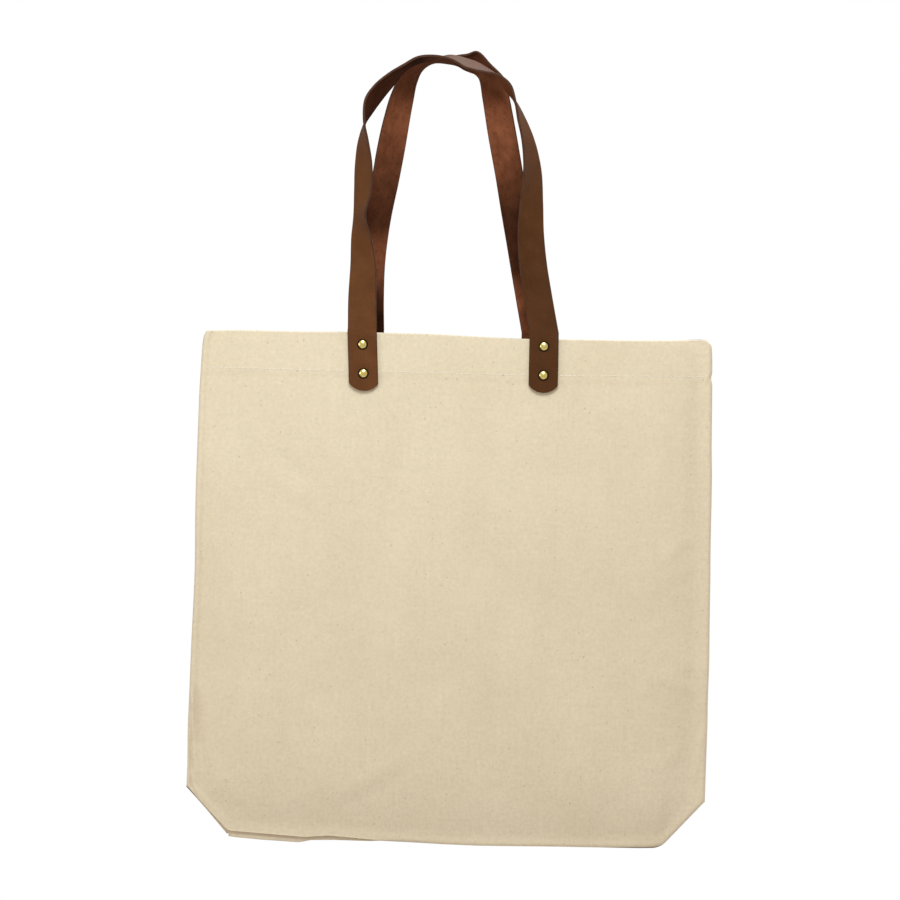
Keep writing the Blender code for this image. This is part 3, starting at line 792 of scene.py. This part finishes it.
def build_stitches(side):
    """Lockstitches along the hem, outside and inside, in the same runs as the CAD frame's."""
    sign = SIDES[side]
    gap = STRAP_HALF + 1.2
    left, right = TABS[side]["left"][1], TABS[side]["right"][1]
    runs = ((-188.0, left - gap), (left + gap, right - gap), (right + gap, 187.0))
    pitch, length, sides, rings = 3.3, 2.75, 7, 6
    lift = np.array([-0.30, 0.02, 0.13, 0.13, 0.02, -0.30])
    rng = np.random.default_rng(5 if side == "front" else 6)
    made = {}
    for part, (start, end) in zip(PARTS, runs):
        points, faces, uvs = [], [], []
        for k in range(int((end - start) / pitch)):
            for inside in (False, True):
                x0 = start + pitch * (k + 0.5 * inside) + rng.normal(0, 0.06)
                xs = np.linspace(x0, x0 + length, rings)
                zs = STITCH_LINE(xs) + rng.normal(0, 0.07) + np.linspace(-0.05, 0.05, rings)
                depth = panel_depth(side, xs, zs)
                depth = depth - HEM_THICKNESS - lift if inside else depth + lift
                line = np.stack([xs, sign * depth, zs], axis=1)
                base = len(points)
                points += tube(line, THREAD_RADIUS, sides)
                for r in range(rings - 1):
                    low, high = xs[r] * MM, xs[r + 1] * MM
                    for i in range(sides):
                        faces.append(ring_face(base, sides, r, i))
                        v, w = i / sides, (i + 1) / sides
                        uvs.append([(low, v), (low, w), (high, w), (high, v)])
                for r in (0, rings - 1):
                    faces.append([base + r * sides + i for i in range(sides)])
                    uvs.append([(xs[r] * MM, 0.0)] * sides)
        made[part] = mesh_object(f"{side}_hem_stitches_{part}", points, faces, uvs, [THREAD])
        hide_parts(f"{side}_hem_stitching_{part}")
    return made


# ---- Straps and rivets ----


def smooth_route(stations, step):
    """Points on one smooth curve through the stations, as in the CAD source."""
    places = [np.array(station, float) for station in stations]
    lengths = [math.dist(a[:2], b[:2]) for a, b in zip(places, places[1:])]
    slopes = [(b - a) / length for a, b, length in zip(places, places[1:], lengths)]
    tangents = [slopes[0]]
    for before, after, a, b in zip(slopes, slopes[1:], lengths, lengths[1:]):
        tangents.append((before * b + after * a) / (a + b))
    tangents.append(slopes[-1])
    points = []
    for i, length in enumerate(lengths):
        count = max(1, round(length / step))
        for k in range(count):
            t = k / count
            start = places[i] * (1 + 2 * t) + tangents[i] * length * t
            end = places[i + 1] * (3 - 2 * t) + tangents[i + 1] * length * (t - 1)
            points.append(start * (1 - t) ** 2 + end * t * t)
    points.append(places[-1])
    return points


def strap_line(side):
    """The strap's rows from one tab's end to the other: each one's middle, and the way across the strap."""
    sign = SIDES[side]
    left, right = TABS[side]["left"], TABS[side]["right"]
    rows = []
    for z in spaced(left[2], ROUTE_START, ROW_STEP):
        x = left[0] + (left[1] - left[0]) * max(z, left[2]) / left[2]
        rows.append((x, z, -STRAP_HALF, 0.0))
    rows += [tuple(row) for row in smooth_route(STRAP_ROUTES[side], 2 * ROW_STEP)]
    for z in reversed(spaced(right[2], ROUTE_START, ROW_STEP)):
        x = right[0] + (right[1] - right[0]) * z / right[2]
        rows.append((x, z, STRAP_HALF, 0.0))
    middles = np.array([(x, sign * (TAB_INNER + LEATHER / 2), z) for x, z, _, _ in rows])
    across = []
    for _, _, dx, dz in rows:
        lean = math.sqrt(max(0.0, STRAP_HALF ** 2 - dx * dx - dz * dz))
        vector = np.array([dx, -sign * lean, dz])
        across.append(vector / np.linalg.norm(vector))
    return middles, np.array(across)


def rivet_place(side, place, level):
    """x and z of a rivet, on the middle line of its tab."""
    mouth_x, end_x, end_z = TABS[side][place]
    z = end_z + RIVET_HEIGHTS[level]
    return mouth_x + (end_x - mouth_x) * z / end_z, z


def section():
    """A strap's cross-section, as points across from -1 to 1, and out from -1 (flesh) to 1 (grain).

    With them are each face's material (0 grain, 1 flesh, 2 edge) and how many points the grain has.
    """
    flat = [-0.945, -0.90, -0.82, -0.7, -0.56, -0.4, -0.22, 0.0, 0.22, 0.4, 0.56, 0.7, 0.82, 0.90, 0.945]
    grain = [(v, 1.0 - 0.10 * abs(v) ** 6) for v in flat]
    flesh = [(v, -1.0 + 0.06 * abs(v) ** 6) for v in reversed(flat)]
    right = [(0.972, 0.74), (0.990, 0.42), (0.996, 0.0), (0.990, -0.45), (0.972, -0.78)]
    left = [(-v, out) for v, out in reversed(right)]
    kinds = [0] * (len(grain) - 1) + [2] * (len(right) + 1)
    kinds += [1] * (len(flesh) - 1) + [2] * (len(left) + 1)
    return grain + right + flesh + left, kinds, len(grain)


def build_strap(side):
    """One leather strap from tab to tab: grain outside, flesh inside, cut edges, and both ends rounded."""
    sign = SIDES[side]
    middles, across = strap_line(side)
    profile, kinds, half = section()
    count, size = len(middles), len(profile)
    forward = np.gradient(middles, axis=0)
    forward /= np.linalg.norm(forward, axis=1, keepdims=True)
    out = np.cross(across, forward)
    out /= np.linalg.norm(out, axis=1, keepdims=True)
    out *= sign
    run = np.concatenate([[0], np.cumsum(np.linalg.norm(np.diff(middles, axis=0), axis=1))])
    end_drop = TAB_END_RADIUS - math.sqrt(TAB_END_RADIUS ** 2 - STRAP_HALF ** 2)
    rng = np.random.default_rng(3 if side == "front" else 4)
    window = np.hanning(41) / np.hanning(41).sum()
    wobble = np.convolve(rng.normal(0, 1.0, count + 40), window, mode="valid")[:count]
    rivets = [rivet_place(side, place, level) for place in ("left", "right") for level in RIVET_HEIGHTS]
    points = []
    for k in range(count):
        near = min(run[k], run[-1] - run[k])
        inward = 1 if run[k] < run[-1] / 2 else -1
        free = smoothstep(60, 110, near)
        taper = 1 - 0.16 * (1 - smoothstep(0.0, 1.2, near))
        curl = 0.9 * free * wobble[k]
        for v, depth in profile:
            arc = TAB_END_RADIUS - math.sqrt(TAB_END_RADIUS ** 2 - (STRAP_HALF * v) ** 2)
            shift = arc * (1 - smoothstep(0, end_drop + 7.0, near))
            place = middles[k] + across[k] * STRAP_HALF * v + forward[k] * inward * shift
            bow = -0.35 * free * (1 - v * v) * (1 if side == "front" else -1) + curl * v * 0.35
            level = depth * LEATHER / 2 * (taper if abs(depth) > 0.5 else 1) + bow
            if near < TAB_LENGTH and depth > 0:
                for x, z in rivets:
                    gap = math.hypot(place[0] - x, place[2] - z)
                    level -= DIMPLE * (1 - float(smoothstep(4.2, 7.4, gap)))
            points.append(place + out[k] * level)
    faces, uvs, looks = [], [], []
    for k in range(count - 1):
        low, high = run[k] * MM, run[k + 1] * MM
        for i in range(size):
            faces.append(ring_face(0, size, k, i))
            ends = (profile[i], profile[(i + 1) % size])
            if kinds[i] == 2:
                v, w = ((depth + 2) * MM for _, depth in ends)
            else:
                v, w = (place * STRAP_HALF * MM for place, _ in ends)
            uvs.append([(low, v), (low, w), (high, w), (high, v)])
            looks.append(kinds[i])
    # Each end is closed by a strip of faces from the grain side to the flesh side, and one at each edge.
    flesh_end = size // 2 + half
    grain_row = list(range(half))
    flesh_row = list(reversed(range(size // 2, flesh_end)))
    ends = [[grain_row[i], grain_row[i + 1], flesh_row[i + 1], flesh_row[i]] for i in range(half - 1)]
    ends.append(list(range(half - 1, size // 2 + 1)))
    ends.append(list(range(flesh_end - 1, size)) + [0])
    for k in (0, count - 1):
        for chain in ends:
            faces.append([k * size + n for n in chain])
            uvs.append([(profile[n][0] * STRAP_HALF * MM, (profile[n][1] + 2) * MM) for n in chain])
            looks.append(2)
    strap = mesh_object(f"{side}_strap", points, faces, uvs, [GRAIN, FLESH[side], LEATHER_EDGE], looks)
    strap.data.set_sharp_from_angle(angle=math.radians(50))
    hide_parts(f"{side}_handle", f"{side}_left_handle_tab", f"{side}_right_handle_tab")
    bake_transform(strap)


def turned(name, x, z, sign, profile, steps):
    """A piece turned about a line along Y. Its profile is (radius, depth) from one end to the other."""
    points, faces, uvs = [(x, sign * profile[end][1], z) for end in (0, -1)], [], []
    rings = profile[1:-1]
    run = [0.0]
    for a, b in zip(profile, profile[1:]):
        run.append(run[-1] + math.dist(a, b))
    run = [length * MM for length in run]
    for radius, depth in rings:
        for i in range(steps):
            angle = 2 * math.pi * i / steps
            points.append((x + radius * math.cos(angle), sign * depth, z + radius * math.sin(angle)))
    for i in range(steps):
        j = (i + 1) % steps
        u, w = 12.0 * i / steps * MM, 12.0 * (i + 1) / steps * MM
        faces.append([0, 2 + i, 2 + j])
        uvs.append([(u, 0.0), (u, run[1]), (w, run[1])])
        for k in range(len(rings) - 1):
            a, b = 2 + k * steps, 2 + (k + 1) * steps
            faces.append([a + i, b + i, b + j, a + j])
            uvs.append([(u, run[k + 1]), (u, run[k + 2]), (w, run[k + 2]), (w, run[k + 1])])
        a = 2 + (len(rings) - 1) * steps
        faces.append([1, a + j, a + i])
        uvs.append([(u, run[-1]), (w, run[-2]), (u, run[-2])])
    piece = mesh_object(name, points, faces, uvs, [BRASS])
    piece.data.set_sharp_from_angle(angle=math.radians(40))
    return piece


def build_rivets(side):
    """Two rivets in each tab: a domed cap outside, and a stem whose head bears on the canvas inside."""
    sign = SIDES[side]
    dome_base = TAB_OUTER - 0.2
    head_top = TAB_INNER - 0.3 - HEM_THICKNESS - 0.05
    dome = [(radius, dome_base + rise) for radius, rise in DOME]
    stem = [(radius, head_top + rise) for radius, rise in STEM_HEAD]
    stem += [(STEM_HEAD[-1][0], dome_base - 0.1), (0.0, dome_base - 0.1)]
    for place in TABS[side]:
        for level in RIVET_HEIGHTS:
            x, z = rivet_place(side, place, level)
            name = f"{side}_{place}_{level}_rivet"
            for part, profile, node in (("dome", dome, "cap"), ("stem", stem, "post")):
                piece = turned(f"{name}_{part}", x, z, sign, profile, RIVET_SIDES)
                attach(piece, f"{side}_side")
                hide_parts(f"{name}_{node}")


# ---- The object ----


def follow_side(piece, side, part):
    """The middle rides on its side; a wing has its transform baked in and rides on no body."""
    if part == "middle":
        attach(piece, f"{side}_side")
        return
    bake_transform(piece)


def build_bag():
    for side in SIDES:
        panels = build_panel(side)
        stitches = build_stitches(side)
        for part, piece in panels.items():
            follow_side(piece, side, part)
            follow_side(stitches[part], side, part)
        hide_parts(f"{side}_panel", f"{side}_hem")
        build_strap(side)
        build_rivets(side)
    build_seams()


build_bag()


# ---- Floor, light and camera, in metres ----

FLOOR_REACH = 20.0
FLOOR_Z = -1.6
SOFT_LIGHT = 0.70
BACKDROP = 1.0
LIGHT_COLOUR = (0.83, 1.0, 1.14)
SENSOR = 36.0
CAMERA_DISTANCE = 8.0
VIEW_WIDTH = 0.675

# Each lamp: name, place, height that it points at, size and power
LAMPS = (
    ("front_key", (0.02, -0.86, 0.52), -0.22, 0.5, 11.6),
    ("front_side", (-0.74, -0.46, -0.22), -0.35, 0.3, 1.3),
    ("back_key", (0.35, 0.72, 0.88), -0.22, 0.5, 13.5),
    ("back_side", (0.74, 0.46, -0.22), -0.35, 0.3, 1.3),
)


def build_stage():
    """A plain pale floor, well below the hanging bag."""
    mesh = bpy.data.meshes.new("floor")
    corners = [(x * FLOOR_REACH, y * FLOOR_REACH, FLOOR_Z) for x, y in ((-1, -1), (1, -1), (1, 1), (-1, 1))]
    mesh.from_pydata(corners, [], [(0, 1, 2, 3)])
    floor = bpy.data.objects.new("floor", mesh)
    bpy.context.scene.collection.objects.link(floor)
    material = bpy.data.materials.new("pale_floor")
    material.use_nodes = True
    shader = material.node_tree.nodes["Principled BSDF"]
    looks = {"Base Color": (0.93, 0.93, 0.93, 1), "Roughness": 0.95, "Specular IOR Level": 0.0}
    for socket, value in looks.items():
        shader.inputs[socket].default_value = value
    mesh.materials.append(material)


def area_light(name, place, target_z, size, power):
    """A round lamp that points at the bag's middle line at a height."""
    data = bpy.data.lights.new(name, "AREA")
    data.shape = "DISK"
    data.size = size
    data.energy = power
    data.color = LIGHT_COLOUR
    light = bpy.data.objects.new(name, data)
    light.location = place
    light.rotation_mode = "QUATERNION"
    aim = Vector((0.0, 0.0, target_z)) - Vector(place)
    light.rotation_quaternion = aim.to_track_quat("-Z", "Y")
    bpy.context.scene.collection.objects.link(light)


def build_world():
    """A plain white backdrop, with soft light all round that is dimmer than it, so that folds show."""
    world = bpy.data.worlds.new("studio")
    world.use_nodes = True
    tree = world.node_tree
    soft = tree.nodes["Background"]
    backdrop = tree.nodes.new("ShaderNodeBackground")
    for shader, strength in ((soft, SOFT_LIGHT), (backdrop, BACKDROP)):
        shader.inputs["Color"].default_value = (1.0, 1.0, 1.0, 1)
        shader.inputs["Strength"].default_value = strength
    seen = tree.nodes.new("ShaderNodeLightPath")
    both = tree.nodes.new("ShaderNodeMixShader")
    tree.links.new(seen.outputs["Is Camera Ray"], both.inputs["Fac"])
    tree.links.new(soft.outputs["Background"], both.inputs[1])
    tree.links.new(backdrop.outputs["Background"], both.inputs[2])
    tree.links.new(both.outputs["Shader"], tree.nodes["World Output"].inputs["Surface"])
    bpy.context.scene.world = world


def build_camera():
    """A long lens, square on to the bag and turned a little, since the bag hangs slightly askew."""
    data = bpy.data.cameras.new("camera")
    data.sensor_width = SENSOR
    data.lens = SENSOR * CAMERA_DISTANCE / VIEW_WIDTH
    data.clip_end = 60.0
    camera = bpy.data.objects.new("camera", data)
    aim = put([(-3.9, 0.0, -84.9)])[0]
    camera.location = (aim[0], -CAMERA_DISTANCE, aim[2])
    camera.rotation_euler = (math.radians(90), math.radians(-1.4), 0.0)
    bpy.context.scene.collection.objects.link(camera)
    bpy.context.scene.camera = camera


build_stage()
build_world()
for lamp in LAMPS:
    area_light(*lamp)
build_camera()
bpy.context.scene.view_settings.view_transform = "Standard"
bpy.context.scene.view_settings.look = "None"
